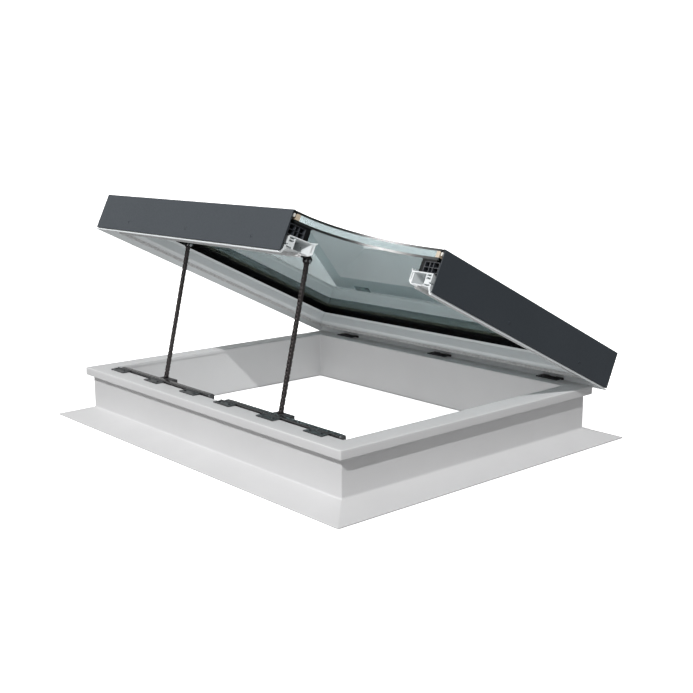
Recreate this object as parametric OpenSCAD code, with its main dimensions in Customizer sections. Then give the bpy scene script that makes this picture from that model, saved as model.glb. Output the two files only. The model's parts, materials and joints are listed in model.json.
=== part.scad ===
// Opening roof skylight: a moulded upstand, a hinged glazed sash and two chain drives.
// +X runs along the drive side, -Y is the drive side, +Y is the hinge side, +Z is up.
// The origin is the middle of the flange's underside. Millimetres and degrees.
// The sash is drawn closed on the rim, and opened() then turns it about the hinge line.
// Sash sections use (d, h): d is the depth inwards from the cladding, h the height above its lower edge.

/* [Upstand] */
// Width of the rim along the drive side, outside
rim_w = 1200; // [900:10:1500]
// Depth of the rim from the drive side to the hinge side, outside
rim_d = 964; // [800:2:1300]
// Height of the rim's top above the roof
upstand_h = 154; // [130:1:300]
// Height of the rim's outer face
rim_face_h = 24; // [16:1:40]
// How far the rim stands out from the wall below it
rim_step = 17; // [8:1:30]
// Width of the rim's top from its outer face to the light opening
rim_top_w = 62; // [50:1:90]
// Radius along the rim's top outer edge
rim_edge_r = 4; // [1:0.5:8]
// How far the rim's nose stands into the light opening
nose_out = 3; // [1:0.5:6]
// Height of that nose
nose_h = 8; // [4:1:15]
// How far the flange reaches beyond the rim
flange_out = 66; // [40:1:120]
// Thickness of the flange at its outer edge
flange_edge_h = 3.5; // [2:0.5:8]
// Height at which the sloping flange meets the wall
flange_root_h = 28.5; // [10:0.5:50]

/* [Sash] */
// How far the sash is open
open_angle = 25.5; // [5:0.5:35]
// How far the cladding stands out beyond the rim at the two sides
side_overhang = 32.5; // [26:0.5:45]
// How far it stands out beyond the rim on the drive side
front_overhang = 21; // [18:0.5:40]
// How far it stands out beyond the rim on the hinge side
back_overhang = 22; // [20:0.5:32]
// Height of the cladding
clad_h = 108.5; // [95:0.5:130]
// Thickness of the cladding sheet
clad_t = 2.5; // [1.5:0.1:3]
// Inward fold along the cladding's top edge
clad_fold = 6; // [4:0.5:9]
// How far the cladding's lower edge hangs below the rim's top when shut
clad_drop = 1.6; // [0:0.2:3]

/* [Cut-away corner] */
// Half axis of the cut-away along the drive side
cut_a = 348; // [200:2:450]
// Half axis of the cut-away along the right-hand side
cut_b = 199; // [140:1:300]

/* [Sash frame profile] */
// Depth from the cladding to the profile's outer wall
pvc_out = 14; // [12:0.5:18]
// Depth from the cladding to the profile's inner wall
pvc_in = 80; // [76:0.5:84]
// Top of the profile
pvc_top = 46; // [42:0.5:52]
// Underside of the profile
pvc_bottom = 12; // [10:0.5:13]
// Wall of the profile
pvc_wall = 3; // [2:0.25:3.5]
// Bevel along the profile's inner lower edge
pvc_bevel = 8; // [4:0.5:9]
// How far the outer lip hangs below the cladding
lip_drop = 6; // [4:0.5:8]
// Thickness of that lip
lip_t = 3.5; // [2:0.25:4]

/* [Glazing] */
// Thickness of the outer pane
pane_t = 6; // [3:0.5:8]
// Thickness of the laminated inner pane
inner_pane_t = 6.5; // [4:0.5:8]
// Height of the cavity between the panes
cavity_h = 16; // [8:0.5:18]
// Width of the spacer round the edge of the panes
spacer_w = 12; // [8:0.5:16]
// Width of the dark multi-cell insert
insert_w = 46.5; // [40:0.5:48]
// Wall between the insert's cells
insert_wall = 2.5; // [1.5:0.25:3]
// Width of the glazing gasket's upright
gasket_w = 10; // [6:0.5:14]
// Thickness of the gasket's pad under the glass
gasket_pad = 6; // [3:0.5:8]
// Width of the backing cord beside the glass
cord_w = 5; // [3:0.5:7]
// Height of the backing cord
cord_h = 9.5; // [7:0.5:10]
// Depth of the weather seal above the cord
weather_h = 7.5; // [5:0.5:8]

/* [Rim seal] */
// Depth from the cladding to the seal's base
seal_at = 50; // [46:0.5:52]
// Width of the seal's base
seal_w = 8; // [6:0.5:9]
// Width of the seal's lip
seal_lip_w = 5; // [3:0.5:6]
// Gap that the shut seal leaves above the rim
seal_gap = 0.9; // [0.5:0.1:2]

/* [Hinges] */
// Distance from the middle hinge to each outer hinge
hinge_pitch = 450; // [250:5:520]
// Width of a hinge
hinge_w = 75; // [50:1:100]
// Width of the middle knuckle
knuckle_w = 25; // [15:1:35]
// Distance of the hinge line beyond the rim
hinge_out = 13.5; // [12:0.5:15]
// Depth of the hinge line below the rim's top
hinge_down = 4; // [3:0.5:5]
// Radius of the hinge barrel
barrel_r = 5; // [4:0.25:5.5]
// Radius of the hinge pin
pin_r = 2.5; // [1.5:0.25:3]
// Thickness of a hinge leaf
leaf_t = 3; // [2:0.25:3.5]
// Reach of a leaf from the hinge line towards the opening
leaf_reach = 36.5; // [30:0.5:37.5]

/* [Chain drives] */
// Middle of the left-hand drive along X
drive_left_x = -259; // [-262:1:-245]
// Middle of the right-hand drive along X
drive_right_x = 288; // [280:1:298]
// Length of a drive housing with its end caps
drive_len = 476; // [400:2:490]
// Width of a drive housing
drive_w = 18; // [17:0.5:22]
// Height of a drive housing
drive_h = 34; // [28:1:50]
// How far the housing's top stands above the rim
drive_above = 6; // [5:0.5:9]
// Gap between the rim's nose and the housing
drive_gap = 3; // [2:0.5:4]
// Wall of the housing
drive_wall = 2; // [1.5:0.25:3]
// Thickness of an end cap
cap_t = 7; // [4:0.5:12]
// Length of the chain outlet block
outlet_len = 64; // [50:1:80]
// Width of the chain outlet block
outlet_w = 25; // [24:0.5:27]
// Height of the outlet block's top above the rim
outlet_above = 3.5; // [2:0.5:4]
// Height of the outlet block
outlet_h = 20; // [16:0.5:26]
// Middle of the outlet block from the middle of the drive
outlet_off = -20; // [-30:1:-8]
// Place of the chain from the middle of the drive
chain_off = -32; // [-45:1:-20]
// Depth of the chain's first roller below the rim's top
chain_down = 2; // [1:0.5:4]
// Width of a mounting bracket
bracket_w = 70; // [50:1:90]
// Reach of a mounting bracket over the rim
bracket_reach = 23; // [18:0.5:24]
// Height of a mounting bracket's upright
bracket_up = 5; // [3.5:0.5:8]
// Distance between mounting brackets
bracket_pitch = 190; // [150:1:195]
// Radius of the gear motor
motor_r = 6.25; // [5:0.25:6.25]
// Length of the gear motor
motor_len = 150; // [80:1:170]

/* [Chains] */
// Distance between chain rollers
chain_pitch = 10; // [8:0.5:14]
// Radius of a chain roller
roller_r = 4.5; // [3:0.25:5]
// Width of the chain along its rollers
chain_w = 11; // [8:0.5:12]
// Thickness of the chain's plates across the rollers
chain_plate = 9; // [6:0.5:9]
// Gap between the outlet's slot and the chain
slot_gap = 1.8; // [1:0.1:2]
// Distance from the housing's back to the middle of the chain
chain_clear = 13; // [12:0.5:14]
// Height of the chain's end pin
end_pin_h = 13; // [12:0.5:15]
// Radius of the chain's end pin
end_pin_r = 3; // [2:0.25:3.5]
// Radius of the bracket's eye round that pin
eye_r = 6.5; // [5.5:0.25:7]
// Width of a chain end bracket's foot
end_foot_w = 44; // [36:1:50]
// Thickness of the chain end bracket's plates
end_plate_t = 3; // [2:0.25:4]

/* [Fixings] */
// Distance between cladding screws on the drive and hinge sides
screw_pitch = 304; // [200:1:340]
// Distance between cladding screws on the two other sides
side_screw_pitch = 338; // [200:1:400]
// Height of the cladding screws
screw_h = 27.5; // [27:0.25:28]
// Radius of a cladding screw's head
screw_head_r = 5; // [3:0.25:6]
// Radius of every screw's shank
shank_r = 2; // [1.5:0.1:2.2]
// Radius of the small screws' heads
head_r = 4; // [3:0.25:5]
// Height of the small screws' heads
head_h = 2; // [1:0.25:2.5]
// Height of the low heads between the hinge leaves
low_head_h = 1; // [0.5:0.1:1.4]
// Gap round a screw in its hole
hole_gap = 0.05; // [0.03:0.01:0.1]
// Gap round a pin in its bore
run_gap = 0.06; // [0.03:0.01:0.09]

/* [Hidden] */
$fn = 48;

// A little more than nothing, so that a cutting shape passes the face it cuts.
over = 1;
// Upstand
inner_w = rim_w - 2 * rim_top_w;
inner_d = rim_d - 2 * rim_top_w;
// Sash
sash_w = rim_w + 2 * side_overhang;
sash_front = -rim_d / 2 - front_overhang;
sash_back = rim_d / 2 + back_overhang;
sash_l = sash_back - sash_front;
sash_mid = (sash_front + sash_back) / 2;
sash_z = upstand_h - clad_drop;
// Heights in the glazing, counted down from the cladding's top
outer_pane_h = clad_h - pane_t;
spacer_h = outer_pane_h - cavity_h;
inner_pane_h = spacer_h - inner_pane_t;
pad_h = inner_pane_h - gasket_pad;
insert_at = pvc_out - 10.5;
gasket_at = insert_at + insert_w;
weather_at = clad_h - weather_h;
seal_bottom = clad_drop + seal_gap;
// Hinge line
hinge_y = rim_d / 2 + hinge_out;
hinge_z = upstand_h - hinge_down;
// Drives
drive_front = -inner_d / 2 + drive_gap;
drive_back = drive_front + drive_w;
drive_top = upstand_h + drive_above;
drive_bottom = drive_top - drive_h;
outlet_top = upstand_h + outlet_above;
// The chain's first roller, and its end pin with the sash shut and open
chain_y = drive_back + chain_clear;
end_pin_at = chain_y - sash_front;
chain_z = upstand_h - chain_down;
shut_dy = chain_y - hinge_y;
shut_dz = sash_z + end_pin_h - hinge_z;
end_y = hinge_y + shut_dy * cos(open_angle) + shut_dz * sin(open_angle);
end_z = hinge_z - shut_dy * sin(open_angle) + shut_dz * cos(open_angle);
chain_lean = atan((end_y - chain_y) / (end_z - chain_z));
chain_len = norm([end_y - chain_y, end_z - chain_z]);
chain_left_x = drive_left_x + chain_off;
chain_right_x = drive_right_x + chain_off;
chain_links = floor(chain_len / chain_pitch);
// The chain's window through the housing, and the room it has in the outlet
housing_r = 5;
window_down = 14;
window_h = 12;
lean_room = 3;
// The chain's end: the wall of its eye, and its clearances to the pin and the cheeks
chain_eye_t = 2.4;
chain_pin_gap = 0.4;
cheek_gap = 2.5;
// Where the screws stand, how long they are, and how much deeper their holes go
hole_spare = 2;
clad_screw_len = pvc_out + 11;
frame_screw_len = 10;
rim_screw_depth = 15;
corner_gap = 20;
bracket_screw_y = drive_front - bracket_reach / 2 - 3;
bracket_screw_x = bracket_w / 2 - 13;
leaf_screw_x = hinge_w / 2 - 12;
leaf_screw_y = hinge_y - leaf_reach + 9;
end_screw_x = end_foot_w / 2 - 6;
end_screw_h = 32;
function bracket_x(drive_x, i) = drive_x + chain_off + 5 + (i - 1) * bracket_pitch;
hinge_places = [-hinge_pitch, 0, hinge_pitch];
bracket_places = [for (x = [drive_left_x, drive_right_x]) for (i = [0:2]) bracket_x(x, i)];
chain_places = [chain_left_x, chain_right_x];

// ---- shapes that repeat ----

// Turns the shut sash open about the hinge line.
module opened() {
    translate([0, hinge_y, hinge_z]) rotate([-open_angle, 0, 0]) translate([0, -hinge_y, -hinge_z])
        children();
}

// A frame of sides 0 to 3 (drive side, right, hinge side, left): puts a child drawn with its outer
// face on the XZ plane, its depth along +Y and its lower edge at z = 0 onto that side of the sash.
module on_side(k) {
    side = k % 2 == 0 ? sash_l : sash_w;
    translate([0, sash_mid, sash_z]) rotate([0, 0, 90 * k]) translate([0, -side / 2, 0]) children();
}

function side_len(k) = k % 2 == 0 ? sash_w : sash_l;

// A straight length of a (d, h) section along one side of the sash, mitred at both ends.
module mitred_rail(k) {
    len = side_len(k);
    reach = 120;
    on_side(k) intersection() {
        rotate([90, 0, 90]) linear_extrude(height = len, center = true) children();
        translate([0, 0, -clad_h]) linear_extrude(height = 3 * clad_h)
            polygon([[-len / 2, 0], [len / 2, 0], [len / 2 - reach, reach], [reach - len / 2, reach]]);
    }
}

// A rectangular ring round the sash from depth d0 to d1 and from height h0 to h1.
module sash_ring(d0, d1, h0, h1) {
    difference() {
        sash_slab(d0, h0, h1);
        sash_slab(d1, h0 - over, h1 + over);
    }
}

// A slab inside the cladding's outline, set in by d, from height h0 to h1.
module sash_slab(d, h0, h1) {
    translate([d - sash_w / 2, sash_front + d, sash_z + h0])
        cube([sash_w - 2 * d, sash_l - 2 * d, h1 - h0]);
}

// The cut-away: an upright prism on an ellipse about the sash's near right-hand corner.
module corner_block() {
    steps = 96;
    translate([sash_w / 2, sash_front, sash_z - 2 * lip_drop])
        linear_extrude(height = clad_h + 4 * lip_drop)
            polygon([for (i = [0:steps - 1])
                [cut_a * cos(360 * i / steps), cut_b * sin(360 * i / steps)]]);
}

module less_corner() {
    difference() {
        children();
        corner_block();
    }
}

// True where a point of the shut sash is clear of the cut-away by at least gap.
function is_kept(x, y, gap) =
    pow((sash_w / 2 - x) / (cut_a + gap), 2) + pow((y - sash_front) / (cut_b + gap), 2) > 1;

module rounded_rect(w, h, r) {
    translate([r, 0]) square([w - 2 * r, h]);
    translate([0, r]) square([w, h - 2 * r]);
    for (x = [r, w - r], y = [r, h - r]) translate([x, y]) circle(r = r);
}

// A rod along X, centred on x = 0.
module rod_x(r, len) {
    rotate([0, 90, 0]) cylinder(r = r, h = len, center = true);
}

// A small screw that points down from z = 0: its head above and its shank below.
module screw(shank_len, head = head_h) {
    cylinder(r = head_r, h = head);
    translate([0, 0, -shank_len]) cylinder(r = shank_r, h = shank_len + over / 2);
}

module screw_hole(depth) {
    translate([0, 0, -depth]) cylinder(r = shank_r + hole_gap, h = depth + over);
}

// ---- upstand ----

// Half outline across the upstand, from its middle out to the flange; half is half the rim's size.
module upstand_outline(half) {
    top = [for (i = [0:6]) [half - rim_edge_r * (1 - sin(15 * i)), upstand_h - rim_edge_r * (1 - cos(15 * i))]];
    side = concat(top, [[half, upstand_h - rim_face_h], [half - rim_step, upstand_h - rim_face_h],
        [half - rim_step, flange_root_h], [half + flange_out, flange_edge_h], [half + flange_out, 0]]);
    n = len(side);
    polygon(concat(side, [for (i = [0:n - 1]) [-side[n - 1 - i][0], side[n - 1 - i][1]]]));
}

module upstand() {
    long = 2 * (rim_w + rim_d);
    color("gainsboro") difference() {
        intersection() {
            rotate([90, 0, 0]) linear_extrude(height = long, center = true) upstand_outline(rim_w / 2);
            rotate([90, 0, 90]) linear_extrude(height = long, center = true) upstand_outline(rim_d / 2);
        }
        // the light opening through the nose
        translate([-inner_w / 2, -inner_d / 2, -over]) cube([inner_w, inner_d, upstand_h + 2 * over]);
        // the wall below the nose
        translate([-inner_w / 2 - nose_out, -inner_d / 2 - nose_out, -over])
            cube([inner_w + 2 * nose_out, inner_d + 2 * nose_out, upstand_h - nose_h + over]);
        for (x = hinge_places, s = [-1, 1])
            translate([x + s * leaf_screw_x, leaf_screw_y, upstand_h]) screw_hole(rim_screw_depth);
        for (x = bracket_places, s = [-1, 1])
            translate([x + s * bracket_screw_x, bracket_screw_y, upstand_h]) screw_hole(rim_screw_depth);
    }
}

// ---- sash frame ----

// Section of the white frame profile, with its chambers.
module pvc_section() {
    wall = pvc_wall;
    mid = pvc_out + 17;
    low = pvc_bottom + 7;
    difference() {
        polygon([[pvc_out, pvc_top], [pvc_in - 2, pvc_top], [pvc_in + 2, pvc_top + 5.5],
            [pvc_in + 4, pvc_top + 5.5], [pvc_in, pvc_top - 1],
            [pvc_in, pvc_bottom + pvc_bevel], [pvc_in - pvc_bevel, pvc_bottom],
            [pvc_out + 2.5, pvc_bottom], [7, -lip_drop], [0, -lip_drop], [0, lip_t - lip_drop],
            [4.5, lip_t - lip_drop], [pvc_out - 3.5, pvc_bottom - 2], [pvc_out - 3.5, low],
            [pvc_out + 5, low + 1.5], [pvc_out + 5, low + 4.5], [pvc_out, low + 4.5]]);
        // two small chambers above the screws, and one below the groove
        translate([pvc_out + wall + 1, pvc_top - wall - 5]) square([13, 4.5]);
        translate([pvc_out + wall + 1, pvc_top - 2 * wall - 8.5]) square([13, 3.5]);
        translate([pvc_out + 0.5, pvc_bottom + 2.5]) square([16.5, 2.5]);
        // the main chamber
        translate([mid + wall, pvc_bottom + wall])
            square([pvc_in - pvc_bevel - 0.5 - mid - wall, pvc_top - pvc_bottom - 2 * wall]);
        // the narrow chamber behind the inner wall
        translate([pvc_in - pvc_bevel + 2.5, pvc_bottom + pvc_bevel + 3])
            square([pvc_bevel - 5, pvc_top - pvc_bottom - pvc_bevel - 3 - wall]);
    }
}

// Holes for the cladding screws on one side.
module side_screw_holes(k) {
    on_side(k) for (x = side_screws(k))
        translate([x, 0, screw_h]) rotate([-90, 0, 0])
            translate([0, 0, -over]) cylinder(r = shank_r + hole_gap, h = clad_screw_len + hole_spare + over);
}

// Screw places along a side, in that side's own direction, without those that the cut-away took.
function side_screws(k) =
    k == 0 ? [for (i = [-1.5:1:1.5]) if (is_kept(i * screw_pitch, sash_front, corner_gap)) i * screw_pitch] :
    k == 1 ? [for (i = [-1:1])
        if (is_kept(sash_w / 2, sash_mid + i * side_screw_pitch, corner_gap)) i * side_screw_pitch] :
    k == 2 ? [for (i = [-1.5:1:1.5]) i * screw_pitch] : [for (i = [-1:1]) i * side_screw_pitch];

module sash_rail(k) {
    color("white") difference() {
        mitred_rail(k) pvc_section();
        side_screw_holes(k);
        if (k < 2) corner_block();
        if (k == 2) hinge_notches();
        if (k == 0) end_screw_holes();
    }
}

// Room in the hinge side's outer lip for the barrels, and the holes of the sash leaves.
module hinge_notches() {
    for (x = hinge_places) {
        translate([x - hinge_w / 2 - 5, sash_back - pvc_out - 2.5, sash_z - 2 * lip_drop])
            cube([hinge_w + 10, pvc_out + 2.5 + over, pvc_bottom + 2 * lip_drop]);
        for (s = [-1, 1]) translate([x + s * leaf_screw_x, leaf_screw_y, sash_z + pvc_bottom - over])
            cylinder(r = shank_r + hole_gap, h = 12);
    }
}

module end_screw_holes() {
    for (x = chain_places, s = [-1, 1])
        translate([x + s * end_screw_x, sash_front + pvc_in + over, sash_z + end_screw_h])
            rotate([90, 0, 0]) cylinder(r = shank_r + hole_gap, h = 14);
}

// Section of the dark multi-cell insert that lifts the glass above the frame.
module insert_section() {
    wall = insert_wall;
    cell_h = (pad_h - pvc_top - 3 * wall) / 2;
    cell_w = (insert_w - 4 * wall - 5) / 3;
    widths = [cell_w + 5, cell_w - 2, cell_w + 2];
    starts = [wall, 2 * wall + widths[0], 3 * wall + widths[0] + widths[1]];
    difference() {
        translate([insert_at, pvc_top]) square([insert_w, pad_h - pvc_top]);
        for (row = [0, 1]) {
            h = pvc_top + wall + row * (cell_h + wall);
            for (i = [0:2]) translate([insert_at + starts[i], h]) square([widths[i], cell_h]);
        }
    }
}

module insert_rail(k) {
    color("dimgray") difference() {
        mitred_rail(k) insert_section();
        if (k < 2) corner_block();
    }
}

// Section of the cladding sheet: an upright with its top edge folded inwards.
module cladding_section() {
    r = clad_t;
    union() {
        square([clad_t, clad_h - r]);
        translate([r, clad_h - clad_t]) square([clad_fold - r, clad_t]);
        translate([r, clad_h - r]) intersection() {
            circle(r = r);
            translate([-r, 0]) square([r, r]);
        }
    }
}

module cladding(k) {
    color(k == 1 ? "darkslategray" : "slategray") difference() {
        mitred_rail(k) cladding_section();
        side_screw_holes(k);
        if (k < 2) corner_block();
    }
}

module cladding_screws() {
    color("slategray") for (k = [0:3]) on_side(k) for (x = side_screws(k))
        translate([x, 0, screw_h]) rotate([-90, 0, 0]) {
            cylinder(r = shank_r, h = clad_screw_len);
            screw_dome();
        }
}

// A low round head that stands out from the cladding.
module screw_dome() {
    rise = 1.6;
    ball_r = (screw_head_r * screw_head_r + rise * rise) / (2 * rise);
    intersection() {
        translate([0, 0, ball_r - rise]) sphere(r = ball_r, $fn = 96);
        translate([0, 0, -rise]) cylinder(r = screw_head_r + over, h = rise);
    }
}

// ---- glazing ----

module outer_pane() {
    color("lightblue", 0.5) less_corner() sash_slab(pvc_out, outer_pane_h, clad_h);
}

module inner_pane() {
    color("lightblue", 0.5) less_corner() sash_slab(pvc_out, inner_pane_h, spacer_h);
}

module edge_spacer() {
    color("tan") less_corner() sash_ring(pvc_out, pvc_out + spacer_w, spacer_h, outer_pane_h);
}

module glazing_gasket() {
    color("black") less_corner() {
        sash_ring(gasket_at, gasket_at + gasket_w, pvc_top, inner_pane_h);
        sash_ring(pvc_out + 2, gasket_at + gasket_w, pad_h, inner_pane_h);
    }
}

// Section of the white cord that backs the weather seal.
module cord_section() {
    r = cord_w / 2;
    d = (clad_t + pvc_out) / 2;
    h = weather_at - cord_h;
    translate([d - r, h + r]) square([cord_w, cord_h - cord_w]);
    for (y = [h + r, h + cord_h - r]) translate([d, y]) circle(r = r);
}

// Four cut lengths, each stopping short of the next at the corner.
module backing_cord() {
    color("ivory") less_corner() for (k = [0:3]) on_side(k)
        rotate([90, 0, 90])
            linear_extrude(height = side_len(k) - 2 * (k % 2 == 0 ? clad_t + 1 : pvc_out), center = true)
                cord_section();
}

module weather_seal() {
    color("black") less_corner() {
        sash_ring(clad_t, pvc_out, weather_at, clad_h - clad_t);
        sash_ring(clad_fold, pvc_out, weather_at, clad_h);
    }
}

module rim_seal() {
    lip = (seal_w - seal_lip_w) / 2;
    color("silver") less_corner() {
        sash_ring(seal_at, seal_at + seal_w, pvc_bottom - 3, pvc_bottom);
        sash_ring(seal_at + lip, seal_at + seal_w - lip, seal_bottom, pvc_bottom);
    }
}

// ---- hinges ----

module rim_leaf(x) {
    gap = 1.5;
    color("black") translate([x, hinge_y, hinge_z]) difference() {
        union() {
            translate([-hinge_w / 2, -leaf_reach, hinge_down])
                cube([hinge_w, leaf_reach - barrel_r - gap, leaf_t]);
            for (s = [-1, 1]) translate([s * (hinge_w + knuckle_w) / 4, 0, 0]) {
                len = (hinge_w - knuckle_w) / 2 - 0.4;
                rod_x(barrel_r, len);
                translate([-len / 2, -barrel_r - gap - over, hinge_down])
                    cube([len, barrel_r + gap + over, leaf_t]);
                translate([-len / 2, -barrel_r, 0]) cube([len, barrel_r, hinge_down + over]);
            }
        }
        rod_x(pin_r + run_gap, hinge_w + 2 * over);
        for (s = [-1, 1]) translate([s * leaf_screw_x, leaf_screw_y - hinge_y, hinge_down + leaf_t])
            screw_hole(leaf_t + over);
    }
}

module sash_leaf(x) {
    plate_z = sash_z + pvc_bottom - leaf_t - hinge_z;
    web_y = barrel_r - leaf_t - 0.5;
    color("black") translate([x, hinge_y, hinge_z]) difference() {
        union() {
            translate([-hinge_w / 2, -leaf_reach, plate_z]) cube([hinge_w, leaf_reach - barrel_r - 1, leaf_t]);
            translate([-knuckle_w / 2, -barrel_r - 2, plate_z]) cube([knuckle_w, barrel_r + 2 + web_y, leaf_t]);
            translate([-knuckle_w / 2, web_y, 0]) cube([knuckle_w, leaf_t, plate_z + leaf_t]);
            rod_x(barrel_r, knuckle_w);
        }
        rod_x(pin_r + run_gap, hinge_w + 2 * over);
        for (s = [-1, 1]) translate([s * leaf_screw_x, leaf_screw_y - hinge_y, plate_z + leaf_t])
            screw_hole(leaf_t + over);
    }
}

module hinge_pin(x) {
    color("gray") translate([x, hinge_y, hinge_z]) {
        rod_x(pin_r, hinge_w + 2);
        for (s = [-1, 1]) translate([s * (hinge_w / 2 + 1), 0, 0]) rod_x(pin_r + 1, 1.2);
    }
}

module hinge_rim_screws() {
    color("gray") for (x = hinge_places, s = [-1, 1])
        translate([x + s * leaf_screw_x, leaf_screw_y, upstand_h + leaf_t]) screw(leaf_t + rim_screw_depth - hole_spare);
}

// These point up into the frame, so their heads are below the sash leaf.
module hinge_sash_screws() {
    color("gray") for (x = hinge_places, s = [-1, 1])
        translate([x + s * leaf_screw_x, leaf_screw_y, sash_z + pvc_bottom - leaf_t])
            mirror([0, 0, 1]) screw(leaf_t + 9, low_head_h);
}

// ---- chain drives ----

module drive_housing(x) {
    len = drive_len - 2 * cap_t;
    color("dimgray") difference() {
        translate([x, drive_front, drive_bottom]) rotate([90, 0, 90])
            linear_extrude(height = len, center = true) difference() {
                rounded_rect(drive_w, drive_h, housing_r);
                translate([drive_wall, drive_wall])
                    rounded_rect(drive_w - 2 * drive_wall, drive_h - 2 * drive_wall, housing_r - drive_wall);
            }
        // the window that the chain leaves by
        translate([x + chain_off - chain_w / 2 - slot_gap, drive_back - drive_wall - over, chain_z - window_down])
            cube([chain_w + 2 * slot_gap, drive_wall + 2 * over, window_h]);
    }
}

module drive_cap(x) {
    color("gray") translate([x, drive_front, drive_bottom]) rotate([90, 0, 90])
        linear_extrude(height = cap_t, center = true) rounded_rect(drive_w, drive_h, housing_r);
}

module drive_outlet(x) {
    chain_x = x + chain_off;
    color("dimgray") difference() {
        translate([x + outlet_off - outlet_len / 2, drive_back, outlet_top - outlet_h])
            cube([outlet_len, outlet_w, outlet_h]);
        translate([chain_x - chain_w / 2 - slot_gap, drive_back - over, chain_z - window_down])
            cube([chain_w + 2 * slot_gap, chain_y + roller_r + lean_room - drive_back + over, window_down + outlet_h]);
    }
}

module gear_motor(x) {
    motor_y = drive_front + drive_w / 2;
    motor_z = drive_bottom + drive_h / 2;
    box = [34, drive_w - 2 * drive_wall - 1, 16];
    color("silver") translate([x + chain_off, motor_y, motor_z]) {
        translate([box.x / 2 - over + motor_len / 2, 0, 0]) rod_x(motor_r, motor_len);
        cube(box, center = true);
    }
}

module drive_bracket(x) {
    color("dimgray") difference() {
        union() {
            translate([x - bracket_w / 2, drive_front - leaf_t - bracket_reach, upstand_h])
                cube([bracket_w, bracket_reach + leaf_t, leaf_t]);
            translate([x - bracket_w / 2, drive_front - leaf_t, upstand_h])
                cube([bracket_w, leaf_t, bracket_up]);
        }
        for (s = [-1, 1]) translate([x + s * bracket_screw_x, bracket_screw_y, upstand_h + leaf_t])
            screw_hole(leaf_t + over);
    }
}

module bracket_screws() {
    color("gray") for (x = bracket_places, s = [-1, 1])
        translate([x + s * bracket_screw_x, bracket_screw_y, upstand_h + leaf_t])
            screw(leaf_t + rim_screw_depth - hole_spare);
}

// ---- chains ----

// A chain along the line from its first roller to the end pin, both on rods along X.
module chain(x) {
    color("dimgray") translate([x, chain_y, chain_z]) rotate([-chain_lean, 0, 0]) difference() {
        union() {
            translate([-chain_w / 2 + 1, -chain_plate / 2, 0]) cube([chain_w - 2, chain_plate, chain_len]);
            for (i = [0:chain_links - 2]) translate([0, 0, i * chain_pitch]) rod_x(roller_r, chain_w);
            translate([0, 0, chain_len]) rod_x(end_pin_r + chain_eye_t, chain_w);
        }
        translate([0, 0, chain_len]) rod_x(end_pin_r + chain_pin_gap, chain_w + 2 * over);
    }
}

// Two cheeks on a foot: they pass over the drive's housing and come down to the chain's end pin.
module end_bracket(x) {
    cheek_in = chain_w / 2 + cheek_gap;
    arm_h = end_pin_h + 4;
    color("black") opened() translate([x, sash_front, sash_z]) difference() {
        union() {
            translate([-end_foot_w / 2, pvc_in, arm_h]) cube([end_foot_w, end_plate_t, 22]);
            for (s = [-1, 1]) translate([s * (cheek_in + end_plate_t / 2), 0, 0]) {
                rotate([90, 0, 90]) linear_extrude(height = end_plate_t, center = true)
                    polygon([[pvc_in, arm_h], [end_pin_at - eye_r, arm_h], [end_pin_at - eye_r, end_pin_h],
                        [end_pin_at + eye_r, end_pin_h], [end_pin_at + eye_r, arm_h + 4],
                        [pvc_in + 12, arm_h + 20], [pvc_in, arm_h + 20]]);
                translate([0, end_pin_at, end_pin_h]) rod_x(eye_r, end_plate_t);
            }
        }
        translate([0, end_pin_at, end_pin_h]) rod_x(end_pin_r + run_gap, end_foot_w);
        for (s = [-1, 1]) translate([s * end_screw_x, pvc_in - over, end_screw_h]) rotate([-90, 0, 0])
            cylinder(r = shank_r + hole_gap, h = end_plate_t + 2 * over);
    }
}

module end_pin(x) {
    len = chain_w + 2 * (cheek_gap + end_plate_t);
    color("silver") opened() translate([x, chain_y, sash_z + end_pin_h]) {
        rod_x(end_pin_r, len + 2);
        for (s = [-1, 1]) translate([s * (len / 2 + 1), 0, 0]) rod_x(end_pin_r + 1, 1.6);
    }
}

module end_bracket_screws() {
    color("gray") opened() for (x = chain_places, s = [-1, 1])
        translate([x + s * end_screw_x, sash_front + pvc_in + end_plate_t, sash_z + end_screw_h])
            rotate([-90, 0, 0]) screw(end_plate_t + frame_screw_len);
}

// ---- nodes ----

upstand();
opened() sash_rail(0);  // sash_rail_front
opened() sash_rail(1);  // sash_rail_right
opened() sash_rail(2);  // sash_rail_back
opened() sash_rail(3);  // sash_rail_left
opened() insert_rail(0);  // insert_front
opened() insert_rail(1);  // insert_right
opened() insert_rail(2);  // insert_back
opened() insert_rail(3);  // insert_left
opened() cladding(0);  // cladding_front
opened() cladding(1);  // cladding_right
opened() cladding(2);  // cladding_back
opened() cladding(3);  // cladding_left
opened() outer_pane();
opened() inner_pane();
opened() edge_spacer();
opened() glazing_gasket();
opened() backing_cord();
opened() weather_seal();
opened() rim_seal();
opened() cladding_screws();
rim_leaf(hinge_places[0]);  // hinge_left_rim_leaf
opened() sash_leaf(hinge_places[0]);  // hinge_left_sash_leaf
hinge_pin(hinge_places[0]);  // hinge_left_pin
rim_leaf(hinge_places[1]);  // hinge_middle_rim_leaf
opened() sash_leaf(hinge_places[1]);  // hinge_middle_sash_leaf
hinge_pin(hinge_places[1]);  // hinge_middle_pin
rim_leaf(hinge_places[2]);  // hinge_right_rim_leaf
opened() sash_leaf(hinge_places[2]);  // hinge_right_sash_leaf
hinge_pin(hinge_places[2]);  // hinge_right_pin
hinge_rim_screws();
opened() hinge_sash_screws();
drive_housing(drive_left_x);  // drive_left_housing
drive_cap(drive_left_x - (drive_len - cap_t) / 2);  // drive_left_outer_cap
drive_cap(drive_left_x + (drive_len - cap_t) / 2);  // drive_left_inner_cap
drive_outlet(drive_left_x);  // drive_left_outlet
gear_motor(drive_left_x);  // drive_left_gear_motor
drive_bracket(bracket_x(drive_left_x, 0));  // drive_left_bracket_a
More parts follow.
